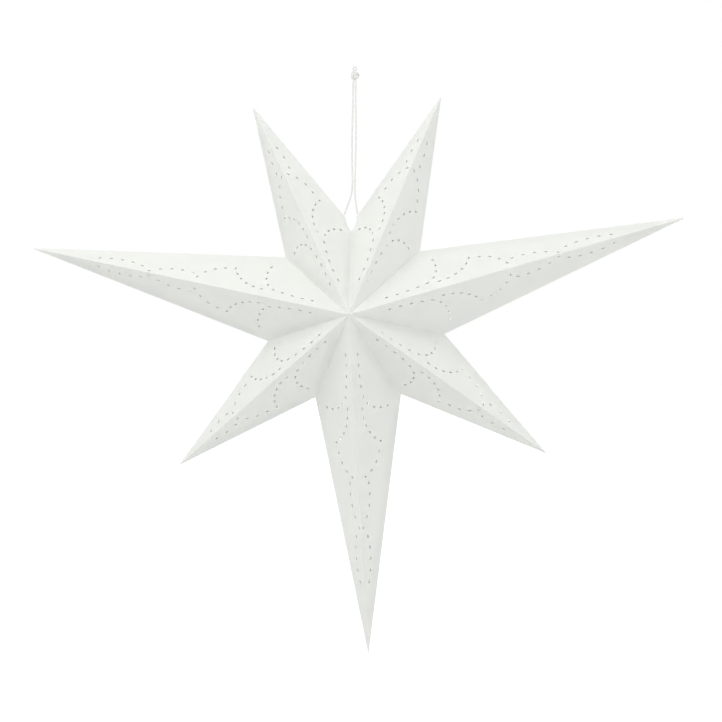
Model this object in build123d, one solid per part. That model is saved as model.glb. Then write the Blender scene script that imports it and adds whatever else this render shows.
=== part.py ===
from build123d import *
import os
from math import acos, atan2, cos, hypot, pi, radians, sin, tan

os.makedirs("parts", exist_ok=True)

# A folding star lantern of thin white card, hung on a string.
# Seven hollow points stand round one axis that runs front to back. Each point
# is four flat panels, two in front and two behind, that meet on creases.
# Two ridges run from the front and back apexes to the tip, two outline folds
# run from the tip to the valleys beside it, and the next point is glued on
# along the front and back valleys. With the seam at the top untied, every
# crease turns at once and the star closes like a fan into a flat pack.
# The origin is the hanging eye of the string. +Z is up and the front faces -Y.
# All sizes are millimetres and all angles degrees, unless a name says otherwise.

# The star
long_reach = 518.0
short_reach = 359.0
edge_offset = 85.0
half_depth = 105.0
string_drop = 379.0
hang_roll = 2.3
point_order = "SLSLSLS"
point_names = ["upper_right", "right", "lower_right", "bottom", "lower_left", "left", "upper_left"]

# The card and its creases
card_thickness = 0.4
crease_gap = 0.15
fold_allowance = 0.25
valley_allowance = 0.10
back_relief = 0.9
tip_blunt = 2.0
apex_hole_depth = 3.0

# Glue flaps and seam hems, on the inner faces
flap_thickness = 0.3
flap_width = 12.0
flap_inset = 1.5
flap_apex_lead = 26.0
flap_valley_lead = 16.0
flap_tip_lead = 40.0
hem_width = 9.0

# The notch for a lamp's cord at the top of the seam
notch_radius = 14.0
notch_sides = 3

# The punched holes, pointed at both ends and laid end to end along arcs
hole_length = 6.2
hole_width = 3.2

# Rows of holes on a panel. Each end of a row is given as shares: along the
# panel, from 0 beside the axis to 1 at the tip, and up it, from 0 on the
# outline fold to 1 on the ridge. The last share is the arc's rise over its
# chord. The counts are the holes in each row.
long_row_shares = [
    ((0.110, 0.881), (0.231, 0.799), 0.030),
    ((0.250, 0.701), (0.252, 0.267), 0.100),
    ((0.266, 0.827), (0.358, 0.381), 0.135),
    ((0.389, 0.400), (0.466, 0.790), -0.125),
    ((0.483, 0.673), (0.616, 0.900), -0.095),
    ((0.642, 0.713), (0.779, 0.636), -0.070),
]
long_row_counts = [5, 4, 6, 4, 5, 5]
short_row_shares = [
    ((0.146, 0.906), (0.313, 0.808), 0.050),
    ((0.338, 0.705), (0.321, 0.294), 0.140),
    ((0.370, 0.840), (0.482, 0.300), 0.160),
    ((0.530, 0.331), (0.654, 0.812), -0.130),
    ((0.678, 0.598), (0.783, 0.600), -0.050),
]
short_row_counts = [5, 4, 6, 4, 3]

# The string: two strands from the seam's corners to one knot with an eye
strand_diameter = 2.4
strand_sides = 6
strand_clearance = 1.8
tie_from_seam = 19.0
eye_radius = 2.7
eye_cord_radius = 1.1
eye_sides = 10
eye_cord_sides = 6
knot_width = 13.4
knot_top = -3.0
knot_bottom = -18.4
knot_flat_radius = 5.4
knot_crown_angle = 78.0
knot_sides = 10
knot_ring_count = 5
left_strand_route = [(-2.9, -18.4), (-2.9, -54.0), (-4.6, -104.0), (-4.4, -150.0), (-3.3, -188.0)]
right_strand_route = [(1.2, -18.4), (1.2, -54.0), (1.8, -104.0), (0.7, -150.0), (-0.5, -188.0)]

# Angles and lengths that follow from the star's sizes. In a plan on the star's
# own plane, an outline fold's line passes edge_offset from the centre, so each
# tip and valley is the end of a right-angled triangle on that offset.
reach = {"L": long_reach, "S": short_reach}
tip_angle = {kind: acos(edge_offset / reach[kind]) for kind in reach}
turn_of_tips = sum(2 * tip_angle[kind] for kind in point_order)
valley_angle = (turn_of_tips - 2 * pi) / (2 * len(point_order))
valley_reach = edge_offset / cos(valley_angle)
half_width = {kind: tip_angle[kind] - valley_angle for kind in reach}
panel_height = hypot(edge_offset, half_depth)
valley_along = edge_offset * tan(valley_angle)
tip_along = {kind: edge_offset * tan(tip_angle[kind]) for kind in reach}
star_centre = Vector(0, 0, -string_drop)


def radial(azimuth):
    """A unit vector in the star's plane, turned clockwise from straight up."""
    return Vector(sin(azimuth), 0, cos(azimuth))


def crease_azimuths():
    """The azimuth of each tip and of the valley before it, in radians."""
    azimuth = -radians(hang_roll)
    valleys, tips = [], []
    for kind in point_order:
        valleys.append(azimuth)
        tips.append(azimuth + half_width[kind])
        azimuth += 2 * half_width[kind]
    valleys.append(azimuth)
    return valleys, tips


valley_azimuths, tip_azimuths = crease_azimuths()


class Panel:
    """One flat triangle of card between a ridge, a valley and an outline fold."""

    def __init__(self, number, half, side):
        self.number = number
        self.half = half
        self.side = side
        self.kind = point_order[number]
        self.name = f"{point_names[number]}_{side}_panel_{half}"
        toward = -1 if side == "front" else 1
        valley_number = number if half == "a" else number + 1
        self.apex = star_centre + Vector(0, toward * half_depth, 0)
        self.tip = star_centre + radial(tip_azimuths[number]) * reach[self.kind]
        self.valley = star_centre + radial(valley_azimuths[valley_number]) * valley_reach
        self.along = (self.tip - self.valley).normalized()
        self.foot = self.tip - self.along * tip_along[self.kind]
        self.up = (self.apex - self.foot).normalized()
        self.middle = (self.apex + self.tip + self.valley) * (1 / 3)
        normal = self.along.cross(self.up)
        outward = normal.dot(self.middle - star_centre) > 0
        self.normal = normal if outward else normal * -1

    def at(self, along, up, outward=0.0):
        """The point at distances along, up and outward from the panel's foot."""
        return self.foot + self.along * along + self.up * up + self.normal * outward


panels = {}
for number in range(len(point_order)):
    for half in "ab":
        for side in ("front", "back"):
            panels[number, half, side] = Panel(number, half, side)


def limit(first, second, third, inside, clearance=0.0):
    """A cutting plane through three points, moved towards the side it keeps."""
    normal = (second - first).cross(third - first).normalized()
    if normal.dot(inside - first) < 0:
        normal = normal * -1
    return Plane(origin=first + normal * clearance, z_dir=normal)


def limits(panel):
    """The planes that bound a panel at its creases, its tip and its apex."""
    behind = star_centre * 2 - panel.apex
    ridge = limit(panel.apex, panel.tip, behind, panel.middle, crease_gap)
    if panel.side == "back":
        relief = ridge.z_dir * back_relief
        ridge = limit(panel.apex + relief, panel.tip, behind + relief, panel.middle, crease_gap)
    valley = limit(panel.apex, panel.valley, behind, panel.middle, crease_gap)
    level = panel.apex - star_centre
    outline = Plane(origin=star_centre + level.normalized() * crease_gap, z_dir=level)
    outward = (panel.tip - star_centre).normalized()
    end = Plane(origin=panel.tip - outward * tip_blunt, z_dir=outward * -1)
    apex = Plane(origin=panel.apex - level.normalized() * apex_hole_depth, z_dir=level * -1)
    return [ridge, valley, outline, end, apex]


def row_stations(panel, shares, count):
    """The centre and direction of each hole in one row, in panel distances."""
    start, finish, bulge = shares
    width = tip_along[panel.kind]
    ends = [(a * width, b * panel_height * (1 - a)) for a, b in (start, finish)]
    (x0, y0), (x1, y1) = ends
    chord = hypot(x1 - x0, y1 - y0)
    turn = 4 * atan2(2 * abs(bulge), 1)
    side = 1 if bulge > 0 else -1
    heading = atan2(y1 - y0, x1 - x0) + side * turn / 2
    step = turn / (count - 1)
    hop = chord * sin(step / 2) / sin(turn / 2)
    x, y = x0, y0
    for _ in range(count):
        yield x, y, heading
        heading -= side * step / 2
        x += hop * cos(heading)
        y += hop * sin(heading)
        heading -= side * step / 2


def hole_wire(panel, x, y, heading):
    """One pointed hole's outline on the panel's middle plane."""
    corners = []
    for quarter, size in enumerate((hole_length, hole_width) * 2):
        angle = heading + quarter * pi / 2
        corners.append(panel.at(x + size / 2 * cos(angle), y + size / 2 * sin(angle)))
    return Wire.make_polygon(corners, close=True)


def notch_wire(panel):
    """The notch's outline, a polygon near a circle round the valley's end."""
    apex_heading = atan2(panel_height, -valley_along)
    headings = [-apex_heading / notch_sides * 0.5]
    headings += [apex_heading * step / notch_sides for step in range(notch_sides + 1)]
    headings += [apex_heading * (1 + 0.5 / notch_sides)]
    corners = [panel.at(valley_along, 0)]
    for heading in headings:
        x = valley_along + notch_radius * cos(heading)
        corners.append(panel.at(x, notch_radius * sin(heading)))
    return Wire.make_polygon(corners, close=True)


def has_notch(panel):
    """Only the four panels beside the seam are notched."""
    first = panel.number == 0 and panel.half == "a"
    last = panel.number == len(point_order) - 1 and panel.half == "b"
    return first or last


def plate(face, normal, low, high):
    """A flat plate made from a face, between two heights along the normal."""
    return Solid.extrude(face.moved(Location(normal * low)), normal * (high - low))


def make_panel(panel):
    """A panel with mitred edges and its rows of holes."""
    spread = 1.04
    corners = [panel.middle + (c - panel.middle) * spread for c in (panel.apex, panel.tip, panel.valley)]
    if panel.kind == "L":
        rows = zip(long_row_shares, long_row_counts)
    else:
        rows = zip(short_row_shares, short_row_counts)
    holes = [hole_wire(panel, *station) for row in rows for station in row_stations(panel, *row)]
    face = Face(Wire.make_polygon(corners, close=True), holes)
    body = plate(face, panel.normal, -card_thickness / 2, card_thickness / 2)
    for plane in limits(panel):
        body = split(body, bisect_by=plane, keep=Keep.TOP)
    if has_notch(panel):
        cutter = plate(Face(notch_wire(panel)), panel.normal, -card_thickness, card_thickness)
        body = body - cutter
    return body.solid()


def strip(panel, start, finish, start_lead, finish_lead, width):
    """A flap along one edge of a panel, on its inner face, with slanted ends."""
    (x0, y0), (x1, y1) = start, finish
    length = hypot(x1 - x0, y1 - y0)
    ex, ey = (x1 - x0) / length, (y1 - y0) / length
    mx, my = panel_middle(panel)
    nx, ny = -ey, ex
    if nx * (mx - x0) + ny * (my - y0) < 0:
        nx, ny = ey, -ex
    outline = [
        (start_lead, flap_inset),
        (length - finish_lead, flap_inset),
        (length - finish_lead - width, flap_inset + width),
        (start_lead + width, flap_inset + width),
    ]
    corners = [panel.at(x0 + ex * a + nx * b, y0 + ey * a + ny * b) for a, b in outline]
    face = Face(Wire.make_polygon(corners, close=True))
    inner = -card_thickness / 2
    return plate(face, panel.normal, inner - flap_thickness, inner)


def panel_middle(panel):
    """The middle of a panel, in panel distances."""
    return (valley_along + tip_along[panel.kind]) / 3, panel_height / 3


def valley_strip(panel, width):
    """A flap or hem beside a panel's valley crease."""
    valley, apex = (valley_along, 0), (0, panel_height)
    return strip(panel, valley, apex, flap_valley_lead, flap_apex_lead, width)


def outline_strip(panel):
    """The flap that closes a point's blank along one outline fold."""
    valley, tip = (valley_along, 0), (tip_along[panel.kind], 0)
    return strip(panel, valley, tip, flap_valley_lead, flap_tip_lead, flap_width)


def tie_point(number, half):
    """Where a strand meets the outline fold beside the seam."""
    panel = panels[number, half, "front"]
    away = (panel.foot - star_centre).normalized()
    on_fold = panel.valley + panel.along * tie_from_seam
    return on_fold + away * strand_clearance


def corner_radii(points):
    """For each corner of a route, the largest arc that its two runs allow."""
    radii = []
    for before, here, after in zip(points, points[1:], points[2:]):
        turn = radians((here - before).get_angle(after - here))
        shorter = min((here - before).length, (after - here).length)
        radii.append(0.45 * shorter / tan(turn / 2))
    return radii


def make_strand(name, route, end):
    """A strand of string, as a tube of straight runs and tangent arcs."""
    points = [Vector(x, 0, z) for x, z in route]
    points += [(points[-1] * 0.40 + end * 0.60) + Vector(0.35 if end.X < 0 else -0.35, 0, 0), end]
    radii = corner_radii(points)
    path = FilletPolyline(*points, radius=radii)
    first = (points[1] - points[0]).normalized()
    section = Plane(origin=points[0], z_dir=first) * RegularPolygon(strand_diameter / 2, strand_sides)
    tube = sweep(section, path=path).solid()
    ideal = path.length * section.area
    print(f"{name}: length {path.length:.1f} mm, volume ratio {tube.volume / ideal:.4f}")
    print(f"{name}: arc radii {[round(radius) for radius in radii]} mm")
    return tube


def make_knot():
    """The knot as a rounded lump with a flat foot, and the eye above it.

    The lump is an ellipse of rings, cut off where the strands leave it and
    where the eye stands on it. The string is so thin that both have flat sides.
    """
    foot_angle = -acos(knot_flat_radius / (knot_width / 2))
    sweep_angle = radians(knot_crown_angle) - foot_angle
    half_height = (knot_top - knot_bottom) / (sin(radians(knot_crown_angle)) - sin(foot_angle))
    rings = []
    for step in range(knot_ring_count + 1):
        angle = foot_angle + sweep_angle * step / knot_ring_count
        height = knot_bottom + half_height * (sin(angle) - sin(foot_angle))
        rings.append([Vector(x, y, height) for x, y in polygon(knot_width / 2 * cos(angle), knot_sides)])
    lump = stack_of_rings(rings)
    loop = Wire.make_polygon([Vector(x, 0, z) for x, z in polygon(eye_radius, eye_sides)], close=True)
    link = loop.edges()[0]
    section = Plane(origin=link @ 0.5, z_dir=link % 0.5) * RegularPolygon(eye_cord_radius, eye_cord_sides)
    eye = sweep(section, path=loop, transition=Transition.RIGHT)
    return (lump + eye).solid()


def polygon(radius, sides):
    """The corners of a regular polygon round the origin, with a flat side right."""
    turns = [2 * pi * (step + 0.5) / sides for step in range(sides)]
    return [(radius * cos(turn), radius * sin(turn)) for turn in turns]


def stack_of_rings(rings):
    """A solid with flat faces between rings of corners, closed at both ends."""
    faces = [Face(Wire.make_polygon(ring, close=True)) for ring in (rings[0], rings[-1])]
    for lower, upper in zip(rings, rings[1:]):
        for here in range(len(lower)):
            corners = [lower[here - 1], lower[here], upper[here], upper[here - 1]]
            faces.append(Face(Wire.make_polygon(corners, close=True)))
    return Solid(Shell(faces))


def crease_axis(first, second, outward, start, end):
    """The line on which two panels turn: it lies outward of their middle planes.

    Panels that close on their inner faces turn about a line inside the card,
    and panels that close on their outer faces about a line outside it, so the
    folded layers lie beside each other instead of in each other.
    """
    one, two = first.normal, second.normal
    first_offset = one.dot(first.apex) + outward
    second_offset = two.dot(second.apex) + outward
    line = one.cross(two)
    point = (two.cross(line) * first_offset + line.cross(one) * second_offset) * (1 / line.dot(line))
    line = line.normalized()
    if line.dot(end - start) < 0:
        line = line * -1
    return point + line * line.dot((start + end) * 0.5 - point), line


def print_axis(name, axis):
    """A crease's axis, for whoever states the joints."""
    point, line = axis
    print("axis", name, *(f"{value:.5f}" for value in (*point, *line)))


def print_crease_axes():
    """The axes of the front ridges, the front valleys and the outline folds."""
    inward = -(card_thickness / 2 + fold_allowance)
    outward = card_thickness / 2 + valley_allowance
    for number, name in enumerate(point_names):
        a, b = panels[number, "a", "front"], panels[number, "b", "front"]
        print_axis(f"{name}_ridge", crease_axis(a, b, inward, a.apex, a.tip))
        if number + 1 < len(point_names):
            beyond = panels[number + 1, "a", "front"]
            print_axis(f"{name}_valley", crease_axis(b, beyond, outward, b.apex, b.valley))
        for half in "ab":
            front, back = panels[number, half, "front"], panels[number, half, "back"]
            axis = crease_axis(front, back, card_thickness / 2, front.valley, front.tip)
            print_axis(f"{name}_outline_{half}", axis)


def export(shape, name):
    """Write one piece to its own file."""
    shape.label = name
    export_step(shape, f"parts/{name}.step")


def export_panels():
    """Every panel of card."""
    for panel in panels.values():
        export(make_panel(panel), panel.name)


def export_flaps():
    """Glue flaps between and within the points, and hems beside the seam."""
    last = len(point_order) - 1
    for number, name in enumerate(point_names):
        export(outline_strip(panels[number, "a", "front"]), f"{name}_outline_flap")
        for side in ("front", "back"):
            first_panel = panels[number, "a", side]
            if number > 0:
                export(valley_strip(first_panel, flap_width), f"{name}_{side}_valley_flap")
            else:
                export(valley_strip(first_panel, hem_width), f"{name}_{side}_seam_hem")
    for side in ("front", "back"):
        export(valley_strip(panels[last, "b", side], hem_width), f"{point_names[last]}_{side}_seam_hem")


def export_string():
    """Both strands and the knot that they are tied in."""
    last = len(point_order) - 1
    export(make_strand("left_strand", left_strand_route, tie_point(last, "b")), "left_strand")
    export(make_strand("right_strand", right_strand_route, tie_point(0, "a")), "right_strand")
    export(make_knot(), "hanging_knot")


export_panels()
export_flaps()
export_string()
print_crease_axes()
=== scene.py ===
from math import acos, atan2, cos, hypot, pi, radians, sin, tan

import bpy
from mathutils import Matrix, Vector
from mathutils.geometry import delaunay_2d_cdt


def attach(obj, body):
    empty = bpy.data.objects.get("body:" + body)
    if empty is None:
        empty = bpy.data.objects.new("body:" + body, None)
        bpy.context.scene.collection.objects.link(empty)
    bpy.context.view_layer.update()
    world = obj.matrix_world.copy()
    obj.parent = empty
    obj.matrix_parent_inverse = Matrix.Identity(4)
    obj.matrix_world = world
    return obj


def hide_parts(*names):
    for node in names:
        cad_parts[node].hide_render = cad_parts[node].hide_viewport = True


# The looks of a folding star lantern of thin white card, hung on a string.
# The star's sizes are in millimetres, as a designer would draw them, and
# become metres where a mesh is written.

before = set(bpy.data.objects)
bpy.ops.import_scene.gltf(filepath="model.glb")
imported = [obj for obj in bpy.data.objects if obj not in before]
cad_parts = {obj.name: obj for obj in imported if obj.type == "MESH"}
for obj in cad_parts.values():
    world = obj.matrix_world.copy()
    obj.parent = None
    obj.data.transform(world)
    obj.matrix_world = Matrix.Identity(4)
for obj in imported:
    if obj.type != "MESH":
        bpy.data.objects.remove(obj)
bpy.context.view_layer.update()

MM = 0.001

# The star
long_reach = 518.0
short_reach = 359.0
edge_offset = 85.0
half_depth = 105.0
string_drop = 379.0
hang_roll = 2.3
point_order = "SLSLSLS"
point_names = ["upper_right", "right", "lower_right", "bottom", "lower_left", "left", "upper_left"]

# The card
card_thickness = 0.4
crease_gap = 0.02
back_ridge_gap = 0.5
tip_blunt = 2.0
apex_hole_depth = 0.6
notch_radius = 14.0
notch_hollow = 0.25
notch_steps = 14

# The punched holes
hole_length = 6.4
hole_width = 3.3
hole_steps = 6
merge_distance = 1e-5

# The rows that the holes are laid in, for a panel of each kind. A row is an
# arc: the place of its first hole, the place of its last, its bulge as a share
# of the straight line between them, and its number of holes. A place is two
# shares: along the panel from its foot to its tip, and up from the outline
# fold to the ridge at that distance.
long_rows = [
    ((0.110, 0.881), (0.231, 0.799), 0.030, 5),
    ((0.250, 0.701), (0.252, 0.267), 0.100, 4),
    ((0.266, 0.827), (0.358, 0.381), 0.135, 6),
    ((0.389, 0.400), (0.466, 0.790), -0.125, 4),
    ((0.483, 0.673), (0.616, 0.900), -0.095, 5),
    ((0.642, 0.713), (0.779, 0.636), -0.070, 5),
]
short_rows = [
    ((0.146, 0.906), (0.313, 0.808), 0.050, 5),
    ((0.338, 0.705), (0.321, 0.294), 0.140, 4),
    ((0.370, 0.840), (0.482, 0.300), 0.160, 6),
    ((0.530, 0.331), (0.654, 0.812), -0.130, 4),
    ((0.678, 0.598), (0.783, 0.600), -0.050, 3),
]

# The string. A route lists places across and down from the eye. After its
# last place a strand runs on to its tie on the card, in a slight bow.
strand_diameter = 2.4
strand_clearance = 1.8
tie_from_seam = 19.0
bow = 0.35
bow_share = 0.60
left_strand_route = [
    (-1.9, -13.5),
    (-2.9, -24.0),
    (-2.9, -54.0),
    (-4.6, -104.0),
    (-4.4, -150.0),
    (-3.3, -188.0),
]
right_strand_route = [
    (0.9, -13.5),
    (1.2, -24.0),
    (1.2, -54.0),
    (1.8, -104.0),
    (0.7, -150.0),
    (-0.5, -188.0),
]

# The knot under the eye: turns that cross round a core, and a stub up to the eye
eye_radius = 2.7
eye_cord_radius = 1.1
eye_steps = 28
knot_middle = -10.4
turns_radius = 3.4
turns_lobe = 1.4
turns_half_depth = 2.3
turns_stretch = 1.12
turns_cord_radius = 2.0
turns_steps = 96
core_radius = 3.2
core_heights = (3.6, 1.8, 0.0, -1.8, -3.6)
stub_radius = 1.4
stub_heights = (-3.4, -5.5, -8.0)
knot_tube_sides = 14

# The finishes. Scales are per metre, and reliefs are in metres.
outer_colour = (0.93, 0.94, 0.93)
outer_shade = (0.91, 0.925, 0.915)
outer_glow = 0.36
inner_colour = (0.965, 0.957, 0.925)
inner_shade = (0.945, 0.935, 0.905)
inner_glow = 0.50
cloud_scale = 34.0
cloud_detail = 4.0
cloud_from = 0.32
cloud_to = 0.68
fibre_scale = 1500.0
fibre_detail = 5.0
fibre_strength = 0.35
fibre_relief = 0.00006
buckle_scale = 9.0
buckle_detail = 1.0
buckle_strength = 1.0
buckle_relief = 0.0035
card_roughness = 0.72
card_specular = 0.25
string_colour = (0.75, 0.75, 0.74)
# The darker string colour is painted shade, laid in the grooves between the plies.
string_groove_painted_shade = (0.67, 0.67, 0.66)
ply_slant = 38
ply_scale = 130.0
ply_distortion = 1.2
ply_detail = 2.0
ply_strength = 0.8
ply_relief = 0.00025
string_roughness = 0.85
string_sheen = 0.25

# The room and its lamps, in metres and watts
sky_below = (0.95, 1.0, 1.0)
sky_above = (1.0, 0.995, 0.965)
sky_strength = 0.92
floor_height = -1.75
floor_half_width = 30.0
floor_grey = 0.80
floor_glow = 0.72
key_place = (-1.3, -2.6, 2.4)
key_size = 2.4
key_power = 48.0
key_colour = (1.0, 0.985, 0.955)
fill_place = (0.9, -2.8, -0.8)
fill_size = 2.8
fill_power = 20.0
fill_colour = (0.97, 0.99, 1.0)

# The camera, which stood a little to the right of the star and looked almost level
photo_width = 722
camera_azimuth = 5.0
camera_elevation = -0.7
camera_distance = 2000.0
pixels_per_mm = 0.6525
centre_pixel = (354.9, 315.4)
sensor_width = 36.0

# Angles and lengths that follow from the star's sizes
reach = {"L": long_reach, "S": short_reach}
tip_angle = {kind: acos(edge_offset / reach[kind]) for kind in reach}
turn_of_tips = sum(2 * tip_angle[kind] for kind in point_order)
valley_angle = (turn_of_tips - 2 * pi) / (2 * len(point_order))
valley_reach = edge_offset / cos(valley_angle)
half_width = {kind: tip_angle[kind] - valley_angle for kind in reach}
panel_height = hypot(edge_offset, half_depth)
valley_along = edge_offset * tan(valley_angle)
tip_along = {kind: edge_offset * tan(tip_angle[kind]) for kind in reach}
star_centre = Vector((0, 0, -string_drop))
last_point = len(point_order) - 1


def radial(azimuth):
    """A unit vector in the star's plane, turned clockwise from straight up."""
    return Vector((sin(azimuth), 0, cos(azimuth)))


def crease_azimuths():
    """The azimuth of each tip and of the valley before it, in radians."""
    azimuth = -radians(hang_roll)
    valleys, tips = [], []
    for kind in point_order:
        valleys.append(azimuth)
        tips.append(azimuth + half_width[kind])
        azimuth += 2 * half_width[kind]
    valleys.append(azimuth)
    return valleys, tips


valley_azimuths, tip_azimuths = crease_azimuths()


class Panel:
    """One flat triangle of card between a ridge, a valley and an outline fold."""

    def __init__(self, number, half, side):
        self.number = number
        self.half = half
        self.side = side
        self.kind = point_order[number]
        toward = -1 if side == "front" else 1
        valley_number = number if half == "a" else number + 1
        self.apex = star_centre + Vector((0, toward * half_depth, 0))
        self.tip = star_centre + radial(tip_azimuths[number]) * reach[self.kind]
        self.valley = star_centre + radial(valley_azimuths[valley_number]) * valley_reach
        self.along = (self.tip - self.valley).normalized()
        self.foot = self.tip - self.along * tip_along[self.kind]
        self.up = (self.apex - self.foot).normalized()
        middle = (self.apex + self.tip + self.valley) / 3
        self.normal = self.along.cross(self.up)
        self.turned = self.normal.dot(middle - star_centre) < 0
        if self.turned:
            self.normal = -self.normal

    def at(self, along, up, outward=0.0):
        """The point at distances along, up and outward from the panel's foot."""
        return self.foot + self.along * along + self.up * up + self.normal * outward

    def notched(self):
        """Only the four panels beside the seam are notched."""
        return (self.number, self.half) in ((0, "a"), (last_point, "b"))


panels = {
    (number, half, side): Panel(number, half, side)
    for number in range(len(point_order))
    for half in "ab"
    for side in ("front", "back")
}


# Card


def spread_per_height(first, second):
    """How far a mitred edge reaches past its middle, per millimetre of height."""
    return tan(first.normal.angle(second.normal) / 2)


def card_outline(panel):
    """The corners of a panel's middle plane, and for the edge after each its kind.

    They run clockwise as seen with the ridge on top, so an edge that moves to
    its left moves out.
    """
    width = tip_along[panel.kind]
    top = panel_height - apex_hole_depth * panel_height / half_depth
    lean = edge_offset ** 2 / (reach[panel.kind] * panel_height)
    slope = panel.along.dot(radial(tip_azimuths[panel.number]))
    ridge_end = width - tip_blunt / (slope + lean * panel_height / width)
    corners = [
        ((valley_along * (1 - top / panel_height), top), "apex"),
        ((width * (1 - top / panel_height), top), "ridge"),
        ((ridge_end, panel_height * (1 - ridge_end / width)), "tip"),
        ((width - tip_blunt / slope, 0), "outline"),
    ]
    if not panel.notched():
        return [*corners, ((valley_along, 0), "valley")]
    apex_heading = atan2(panel_height, -valley_along)
    for step in range(notch_steps + 1):
        share = step / notch_steps
        heading = apex_heading * share
        out = notch_radius * (1 - notch_hollow * sin(pi * share))
        kind = "notch" if step < notch_steps else "valley"
        corners.append(((valley_along + out * cos(heading), out * sin(heading)), kind))
    return corners


def edge_shifts(panel, height):
    """How far each kind of edge moves out, at a height over the middle plane."""
    other_half = panels[panel.number, "b" if panel.half == "a" else "a", panel.side]
    other_side = panels[panel.number, panel.half, "back" if panel.side == "front" else "front"]
    ridge_gap = crease_gap if panel.side == "front" else back_ridge_gap
    next_number = panel.number + (1 if panel.half == "b" else -1)
    neighbour = panels[next_number % len(point_order), "a" if panel.half == "b" else "b", panel.side]
    return {
        "ridge": height * spread_per_height(panel, other_half) - ridge_gap,
        "outline": height * spread_per_height(panel, other_side) - crease_gap,
        "valley": -height * spread_per_height(panel, neighbour) - crease_gap,
    }


def shifted_corners(outline, shifts):
    """The outline's corners after each edge has moved out by its kind's shift."""
    count = len(outline)
    lines = []
    for here in range(count):
        (x0, y0), kind = outline[here]
        (x1, y1), _ = outline[(here + 1) % count]
        length = hypot(x1 - x0, y1 - y0)
        dx, dy = (x1 - x0) / length, (y1 - y0) / length
        move = shifts.get(kind, 0.0)
        lines.append((x0 - dy * move, y0 + dx * move, dx, dy))
    corners = []
    for here in range(count):
        px, py, pdx, pdy = lines[here - 1]
        qx, qy, qdx, qdy = lines[here]
        turn = pdx * qdy - pdy * qdx
        share = ((qx - px) * qdy - (qy - py) * qdx) / turn
        corners.append((px + pdx * share, py + pdy * share))
    return corners


def row_stations(panel, row):
    """The centre and direction of each hole in one row, in panel distances."""
    start, finish, bulge, count = row
    width = tip_along[panel.kind]
    ends = [(a * width, b * panel_height * (1 - a)) for a, b in (start, finish)]
    (x0, y0), (x1, y1) = ends
    chord = hypot(x1 - x0, y1 - y0)
    turn = 4 * atan2(2 * abs(bulge), 1)
    side = 1 if bulge > 0 else -1
    heading = atan2(y1 - y0, x1 - x0) + side * turn / 2
    step = turn / (count - 1)
    hop = chord * sin(step / 2) / sin(turn / 2)
    x, y = x0, y0
    for _ in range(count):
        yield x, y, heading
        heading -= side * step / 2
        x += hop * cos(heading)
        y += hop * sin(heading)
        heading -= side * step / 2


def hole_outline(x, y, heading):
    """A pointed hole, as two shallow arcs that meet at its ends, anticlockwise."""
    corners = []
    for side in (1, -1):
        for step in range(hole_steps):
            share = 1 - 2 * step / hole_steps
            ahead = side * share * hole_length / 2
            aside = side * (1 - share * share) * hole_width / 2
            corner_x = x + ahead * cos(heading) - aside * sin(heading)
            corner_y = y + ahead * sin(heading) + aside * cos(heading)
            corners.append((corner_x, corner_y))
    return corners


def inside(point, loop):
    """Whether a point of the plane lies inside a loop of corners."""
    x, y = point
    found = False
    for (x0, y0), (x1, y1) in zip(loop, loop[1:] + loop[:1]):
        if (y0 > y) != (y1 > y) and x < x0 + (y - y0) / (y1 - y0) * (x1 - x0):
            found = not found
    return found


def triangulate(outline, holes):
    """Triangles between an outline and its holes, as triples of corner numbers."""
    points, edges = [], []
    for loop in (outline, *holes):
        first = len(points)
        points += [Vector(corner) for corner in loop]
        edges += [(first + here, first + (here + 1) % len(loop)) for here in range(len(loop))]
    all_triangles = 0
    made_points, _, made_faces, origins, _, _ = delaunay_2d_cdt(
        points, edges, [], all_triangles, merge_distance)
    triangles = []
    for face in made_faces:
        middle = sum((made_points[corner] for corner in face), Vector((0, 0))) / 3
        if inside(middle, outline) and not any(inside(middle, hole) for hole in holes):
            triangles.append([origins[corner][0] for corner in face])
    return triangles


def make_card(panel):
    """A panel of card: two faces with holes through them, and every cut edge."""
    outline = card_outline(panel)
    rows = long_rows if panel.kind == "L" else short_rows
    holes = [hole_outline(*station) for row in rows for station in row_stations(panel, row)]
    middle = [corner for corner, _ in outline]
    triangles = triangulate(middle, holes)
    hole_corners = [corner for hole in holes for corner in hole]
    half = card_thickness / 2
    verts = []
    for height in (half, -half):
        flat = shifted_corners(outline, edge_shifts(panel, height)) + hole_corners
        verts += [panel.at(x, y, height) * MM for x, y in flat]
    below = len(verts) // 2
    faces, inner_faces = [], []
    for a, b, c in triangles:
        (ax, ay), (bx, by), (cx, cy) = ((middle + hole_corners)[k] for k in (a, b, c))
        anticlockwise = (bx - ax) * (cy - ay) - (by - ay) * (cx - ax) > 0
        if anticlockwise == panel.turned:
            a, c = c, a
        faces.append((a, b, c))
        inner_faces.append((c + below, b + below, a + below))
    first = 0
    for loop in (middle, *holes):
        clockwise = loop is middle
        for here in range(len(loop)):
            a, b = first + here, first + (here + 1) % len(loop)
            rim = (a, b, b + below, a + below)
            faces.append(rim if clockwise != panel.turned else rim[::-1])
        first += len(loop)
    name = f"{point_names[panel.number]}_{panel.side}_card_{panel.half}"
    mesh = bpy.data.meshes.new(name)
    mesh.from_pydata(verts, [], faces + inner_faces)
    mesh.polygons.foreach_set("material_index", [0] * len(faces) + [1] * len(inner_faces))
    mesh.update()
    card = bpy.data.objects.new(name, mesh)
    bpy.context.scene.collection.objects.link(card)
    return card


def dress_card(outer_face, inner_face):
    """Every panel, on its own body, in the place of its plain solid."""
    for panel in panels.values():
        card = make_card(panel)
        card.data.materials.append(outer_face)
        card.data.materials.append(inner_face)
        point = point_names[panel.number]
        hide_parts(f"{point}_{panel.side}_panel_{panel.half}")
        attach(card, f"{point}_{panel.side}_{panel.half}")


# String


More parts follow.
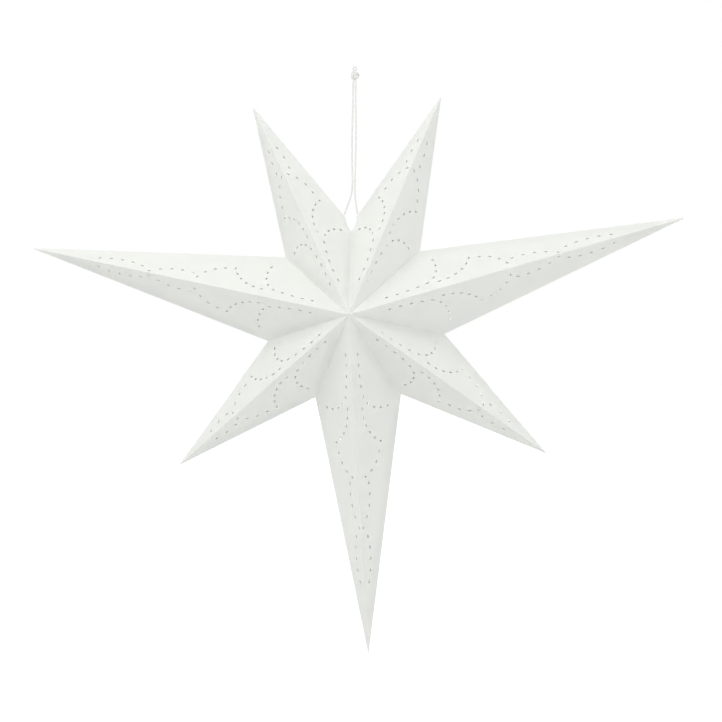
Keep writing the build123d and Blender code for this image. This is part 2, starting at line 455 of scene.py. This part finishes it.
def tie_point(number, half):
    """Where a strand meets the outline fold beside the seam."""
    panel = panels[number, half, "front"]
    away = (panel.foot - star_centre).normalized()
    on_fold = panel.valley + panel.along * tie_from_seam
    return on_fold + away * strand_clearance


def strand_points(route, end):
    """A strand's points from its tie to the knot, in metres."""
    points = [Vector((x, 0, z)) for x, z in route]
    bend = Vector((bow if end.x < 0 else -bow, 0, 0))
    points += [points[-1] * (1 - bow_share) + end * bow_share + bend, end]
    return [point * MM for point in reversed(points)]


def make_strand(name, route, end, material):
    """A strand of string, as a smooth spline of its real thickness."""
    curve = bpy.data.curves.new(name, "CURVE")
    curve.dimensions = "3D"
    curve.bevel_depth = strand_diameter / 2 * MM
    curve.bevel_resolution = 3
    curve.resolution_u = 12
    curve.use_fill_caps = True
    spline = curve.splines.new("NURBS")
    points = strand_points(route, end)
    spline.points.add(len(points) - 1)
    for control, point in zip(spline.points, points):
        control.co = (*point, 1)
    spline.order_u = 3
    spline.use_endpoint_u = True
    strand = bpy.data.objects.new(name, curve)
    bpy.context.scene.collection.objects.link(strand)
    curve.materials.append(material)
    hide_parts(name.replace("cord", "strand"))
    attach(strand, "upper_right_front_a")
    return strand


def tube(centres, radius, sides, closed):
    """The corners and faces of a round tube along a line of points."""
    verts, faces = [], []
    count = len(centres)
    across = Vector((0, 1, 0))
    for here, centre in enumerate(centres):
        before = centres[here - 1] if closed or here > 0 else centre
        after = centres[(here + 1) % count] if closed or here + 1 < count else centre
        ahead = (after - before).normalized()
        across = (across - ahead * across.dot(ahead)).normalized()
        third = ahead.cross(across)
        for side in range(sides):
            turn = 2 * pi * side / sides
            verts.append(centre + (across * cos(turn) + third * sin(turn)) * radius)
    spans = count if closed else count - 1
    for here in range(spans):
        for side in range(sides):
            a = here * sides + side
            b = here * sides + (side + 1) % sides
            c = (b + sides) % (count * sides)
            d = (a + sides) % (count * sides)
            faces.append((a, b, c, d))
    if not closed:
        faces.append(tuple(reversed(range(sides))))
        faces.append(tuple(range((count - 1) * sides, count * sides)))
    return verts, faces


def knot_lines():
    """The knot's lines, each with its radius and whether it closes on itself."""
    turns = []
    for step in range(turns_steps):
        turn = 2 * pi * step / turns_steps
        out = turns_radius + turns_lobe * cos(3 * turn)
        height = knot_middle + out * sin(2 * turn) * turns_stretch
        turns.append(Vector((out * cos(2 * turn), turns_half_depth * sin(3 * turn), height)))
    eye = []
    for step in range(eye_steps):
        turn = 2 * pi * step / eye_steps
        eye.append(Vector((eye_radius * cos(turn), 0, eye_radius * sin(turn))))
    stub = [Vector((0, 0, height)) for height in stub_heights]
    core = [Vector((0, 0, knot_middle + height)) for height in core_heights]
    return [
        (turns, turns_cord_radius, True),
        (core, core_radius, False),
        (eye, eye_cord_radius, True),
        (stub, stub_radius, False),
    ]


def make_knot(material):
    """The knot that both strands end in, with the eye that it hangs by."""
    verts, faces = [], []
    for centres, radius, closed in knot_lines():
        more_verts, more_faces = tube(centres, radius, knot_tube_sides, closed)
        first = len(verts)
        verts += [vert * MM for vert in more_verts]
        faces += [tuple(first + corner for corner in face) for face in more_faces]
    mesh = bpy.data.meshes.new("overhand_knot")
    mesh.from_pydata(verts, [], faces)
    mesh.shade_smooth()
    knot = bpy.data.objects.new("overhand_knot", mesh)
    bpy.context.scene.collection.objects.link(knot)
    mesh.materials.append(material)
    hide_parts("hanging_knot")
    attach(knot, "upper_right_front_a")
    return knot


# Materials


def new_material(name):
    """An empty node material with its output."""
    material = bpy.data.materials.new(name)
    material.use_nodes = True
    nodes = material.node_tree.nodes
    nodes.clear()
    return material, nodes, material.node_tree.links


def card_material(name, colour, shade, glow):
    """Matt card: fine fibres, faint clouding, and light that soaks through."""
    material, nodes, links = new_material(name)
    output = nodes.new("ShaderNodeOutputMaterial")
    place = nodes.new("ShaderNodeTexCoord")
    cloud = nodes.new("ShaderNodeTexNoise")
    cloud.inputs["Scale"].default_value = cloud_scale
    cloud.inputs["Detail"].default_value = cloud_detail
    links.new(place.outputs["Object"], cloud.inputs["Vector"])
    tone = nodes.new("ShaderNodeValToRGB")
    tone.color_ramp.elements[0].position = cloud_from
    tone.color_ramp.elements[0].color = (*shade, 1)
    tone.color_ramp.elements[1].position = cloud_to
    tone.color_ramp.elements[1].color = (*colour, 1)
    links.new(cloud.outputs["Fac"], tone.inputs["Fac"])
    fibre = nodes.new("ShaderNodeTexNoise")
    fibre.inputs["Scale"].default_value = fibre_scale
    fibre.inputs["Detail"].default_value = fibre_detail
    links.new(place.outputs["Object"], fibre.inputs["Vector"])
    wave = nodes.new("ShaderNodeTexNoise")
    wave.inputs["Scale"].default_value = buckle_scale
    wave.inputs["Detail"].default_value = buckle_detail
    links.new(place.outputs["Object"], wave.inputs["Vector"])
    buckle = nodes.new("ShaderNodeBump")
    buckle.inputs["Strength"].default_value = buckle_strength
    buckle.inputs["Distance"].default_value = buckle_relief
    links.new(wave.outputs["Fac"], buckle.inputs["Height"])
    grain = nodes.new("ShaderNodeBump")
    grain.inputs["Strength"].default_value = fibre_strength
    grain.inputs["Distance"].default_value = fibre_relief
    links.new(fibre.outputs["Fac"], grain.inputs["Height"])
    links.new(buckle.outputs["Normal"], grain.inputs["Normal"])
    front = nodes.new("ShaderNodeBsdfPrincipled")
    front.inputs["Roughness"].default_value = card_roughness
    front.inputs["Specular IOR Level"].default_value = card_specular
    links.new(tone.outputs["Color"], front.inputs["Base Color"])
    links.new(grain.outputs["Normal"], front.inputs["Normal"])
    through = nodes.new("ShaderNodeBsdfTranslucent")
    links.new(tone.outputs["Color"], through.inputs["Color"])
    mix = nodes.new("ShaderNodeMixShader")
    mix.inputs["Fac"].default_value = glow
    links.new(front.outputs["BSDF"], mix.inputs[1])
    links.new(through.outputs["BSDF"], mix.inputs[2])
    links.new(mix.outputs["Shader"], output.inputs["Surface"])
    return material


def string_material():
    """Two-ply cotton string: slanted plies with fine fibres, and painted shade in the grooves
    between the plies.
    """
    material, nodes, links = new_material("cotton_string")
    output = nodes.new("ShaderNodeOutputMaterial")
    place = nodes.new("ShaderNodeTexCoord")
    turn = nodes.new("ShaderNodeMapping")
    turn.inputs["Rotation"].default_value = (0.0, radians(ply_slant), 0.0)
    links.new(place.outputs["Object"], turn.inputs["Vector"])
    plies = nodes.new("ShaderNodeTexWave")
    plies.wave_type = "BANDS"
    plies.bands_direction = "Z"
    plies.inputs["Scale"].default_value = ply_scale
    plies.inputs["Distortion"].default_value = ply_distortion
    plies.inputs["Detail"].default_value = ply_detail
    links.new(turn.outputs["Vector"], plies.inputs["Vector"])
    # The ramp gives the low grooves between the plies the darker colour: painted shade.
    tone = nodes.new("ShaderNodeValToRGB")
    tone.color_ramp.elements[0].color = (*string_groove_painted_shade, 1)
    tone.color_ramp.elements[1].color = (*string_colour, 1)
    links.new(plies.outputs["Fac"], tone.inputs["Fac"])
    relief = nodes.new("ShaderNodeBump")
    relief.inputs["Strength"].default_value = ply_strength
    relief.inputs["Distance"].default_value = ply_relief
    links.new(plies.outputs["Fac"], relief.inputs["Height"])
    front = nodes.new("ShaderNodeBsdfPrincipled")
    front.inputs["Roughness"].default_value = string_roughness
    front.inputs["Sheen Weight"].default_value = string_sheen
    links.new(tone.outputs["Color"], front.inputs["Base Color"])
    links.new(relief.outputs["Normal"], front.inputs["Normal"])
    links.new(front.outputs["BSDF"], output.inputs["Surface"])
    return material


def dress_flaps(material):
    """The glue flaps and seam hems keep their solids, in the card's inner face."""
    for name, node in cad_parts.items():
        if name.endswith("_flap") or name.endswith("_hem"):
            node.data.materials.clear()
            node.data.materials.append(material)


# Room


def make_world():
    """Even pale light from all round, behind which the camera sees white."""
    world = bpy.data.worlds.new("studio")
    bpy.context.scene.world = world
    world.use_nodes = True
    nodes, links = world.node_tree.nodes, world.node_tree.links
    nodes.clear()
    output = nodes.new("ShaderNodeOutputWorld")
    place = nodes.new("ShaderNodeTexCoord")
    split = nodes.new("ShaderNodeSeparateXYZ")
    links.new(place.outputs["Generated"], split.inputs["Vector"])
    level = nodes.new("ShaderNodeMapRange")
    level.inputs["From Min"].default_value = -1.0
    level.inputs["From Max"].default_value = 1.0
    links.new(split.outputs["Z"], level.inputs["Value"])
    sky = nodes.new("ShaderNodeValToRGB")
    sky.color_ramp.elements[0].color = (*sky_below, 1)
    sky.color_ramp.elements[1].color = (*sky_above, 1)
    links.new(level.outputs["Result"], sky.inputs["Fac"])
    light = nodes.new("ShaderNodeBackground")
    light.inputs["Strength"].default_value = sky_strength
    links.new(sky.outputs["Color"], light.inputs["Color"])
    white = nodes.new("ShaderNodeBackground")
    white.inputs["Color"].default_value = (1, 1, 1, 1)
    white.inputs["Strength"].default_value = 1.0
    path = nodes.new("ShaderNodeLightPath")
    seen = nodes.new("ShaderNodeMath")
    seen.operation = "MAXIMUM"
    links.new(path.outputs["Is Camera Ray"], seen.inputs[0])
    links.new(path.outputs["Is Glossy Ray"], seen.inputs[1])
    seen_through = nodes.new("ShaderNodeMath")
    seen_through.operation = "MAXIMUM"
    links.new(seen.outputs["Value"], seen_through.inputs[0])
    links.new(path.outputs["Is Transmission Ray"], seen_through.inputs[1])
    mix = nodes.new("ShaderNodeMixShader")
    links.new(seen_through.outputs["Value"], mix.inputs["Fac"])
    links.new(light.outputs["Background"], mix.inputs[1])
    links.new(white.outputs["Background"], mix.inputs[2])
    links.new(mix.outputs["Shader"], output.inputs["Surface"])


def make_floor():
    """A wide white floor well below the star, which still takes its shadow."""
    material, nodes, links = new_material("white_floor")
    output = nodes.new("ShaderNodeOutputMaterial")
    lit = nodes.new("ShaderNodeBsdfDiffuse")
    lit.inputs["Color"].default_value = (floor_grey, floor_grey, floor_grey, 1)
    glow = nodes.new("ShaderNodeEmission")
    glow.inputs["Strength"].default_value = floor_glow
    path = nodes.new("ShaderNodeLightPath")
    seen = nodes.new("ShaderNodeMixShader")
    dark = nodes.new("ShaderNodeEmission")
    dark.inputs["Strength"].default_value = 0.0
    links.new(path.outputs["Is Camera Ray"], seen.inputs["Fac"])
    links.new(dark.outputs["Emission"], seen.inputs[1])
    links.new(glow.outputs["Emission"], seen.inputs[2])
    both = nodes.new("ShaderNodeAddShader")
    links.new(lit.outputs["BSDF"], both.inputs[0])
    links.new(seen.outputs["Shader"], both.inputs[1])
    links.new(both.outputs["Shader"], output.inputs["Surface"])
    wide = floor_half_width
    mesh = bpy.data.meshes.new("floor")
    corners = [(-wide, -wide, 0), (wide, -wide, 0), (wide, wide, 0), (-wide, wide, 0)]
    mesh.from_pydata(corners, [], [(0, 1, 2, 3)])
    mesh.materials.append(material)
    floor = bpy.data.objects.new("floor", mesh)
    floor.location = (0, 0, floor_height)
    bpy.context.scene.collection.objects.link(floor)


def add_light(name, place, aim, size, power, colour):
    """A soft square lamp."""
    data = bpy.data.lights.new(name, "AREA")
    data.shape = "SQUARE"
    data.size = size
    data.energy = power
    data.color = colour
    lamp = bpy.data.objects.new(name, data)
    lamp.location = place
    lamp.rotation_mode = "QUATERNION"
    lamp.rotation_quaternion = (Vector(aim) - Vector(place)).to_track_quat("-Z", "Y")
    bpy.context.scene.collection.objects.link(lamp)


def make_lights():
    """A broad lamp high in front on the left, and a weak one on the right."""
    middle = star_centre * MM
    add_light("key", key_place, middle, key_size, key_power, key_colour)
    add_light("fill", fill_place, middle, fill_size, fill_power, fill_colour)


def make_camera():
    """The photograph's view: the star's middle falls on its own pixel."""
    azimuth, elevation = radians(camera_azimuth), radians(camera_elevation)
    back = Vector((sin(azimuth) * cos(elevation), -cos(azimuth) * cos(elevation), sin(elevation)))
    data = bpy.data.cameras.new("camera")
    data.sensor_width = sensor_width
    data.lens = pixels_per_mm * camera_distance * sensor_width / photo_width
    data.shift_x = (photo_width / 2 - centre_pixel[0]) / photo_width
    data.shift_y = (centre_pixel[1] - photo_width / 2) / photo_width
    camera = bpy.data.objects.new("camera", data)
    camera.location = (star_centre + back * camera_distance) * MM
    camera.rotation_mode = "QUATERNION"
    camera.rotation_quaternion = (-back).to_track_quat("-Z", "Y")
    bpy.context.scene.collection.objects.link(camera)
    bpy.context.scene.camera = camera


make_camera()
make_world()
make_floor()
make_lights()

string = string_material()
left_cord = make_strand("left_cord", left_strand_route, tie_point(last_point, "b"), string)
right_cord = make_strand("right_cord", right_strand_route, tie_point(0, "a"), string)
knot = make_knot(string)

white_card = card_material("white_card_face", outer_colour, outer_shade, outer_glow)
inner_card = card_material("inner_card_face", inner_colour, inner_shade, inner_glow)
dress_card(white_card, inner_card)
dress_flaps(inner_card)

bpy.context.scene.view_settings.view_transform = "Standard"
